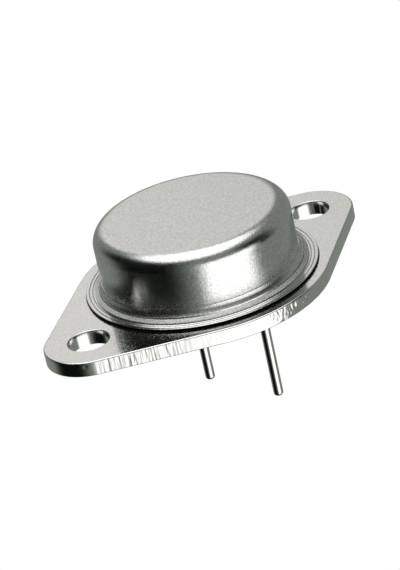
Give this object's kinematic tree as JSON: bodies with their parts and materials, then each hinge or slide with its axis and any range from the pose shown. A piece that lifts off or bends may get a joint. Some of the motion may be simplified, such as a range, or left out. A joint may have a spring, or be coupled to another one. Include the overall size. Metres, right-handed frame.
{
  "type": "power transistor",
  "caption": "Oval steel flange with mounting holes, a round welded cap over the sealed chip, and stiff leads through glass seals underneath.",
  "frame": {"origin": "midway between the two mounting holes, on the flange's underside", "axes": "+X along the mounting holes toward the hole nearer the leads, +Z out of the cap, away from the leads; +Y completes a right-handed frame"},
  "size_m": [0.039, 0.026, 0.0215],
  "materials": {
    "nickel_plate_header": "satin",
    "nickel_plate_cap": "satin",
    "nickel_plate_lead": "polished",
    "sealing_glass": "gloss",
    "braze_alloy": "satin",
    "copper": "satin",
    "soft_solder": "satin",
    "silicon": "polished",
    "bond_wire_aluminium": "satin",
    "coating_silicone": "gloss"
  },
  "bodies": {
    "root": {"header": "nickel_plate_header", "cap": "nickel_plate_cap", "base_pin": "nickel_plate_lead", "emitter_pin": "nickel_plate_lead", "base_pin_glass": "sealing_glass", "emitter_pin_glass": "sealing_glass", "spreader_braze": "braze_alloy", "heat_spreader": "copper", "chip_solder": "soft_solder", "chip": "silicon", "chip_coating": "coating_silicone", "emitter_wire_1": "bond_wire_aluminium", "emitter_wire_2": "bond_wire_aluminium", "base_wire": "bond_wire_aluminium"}
  },
  "joints": []
}
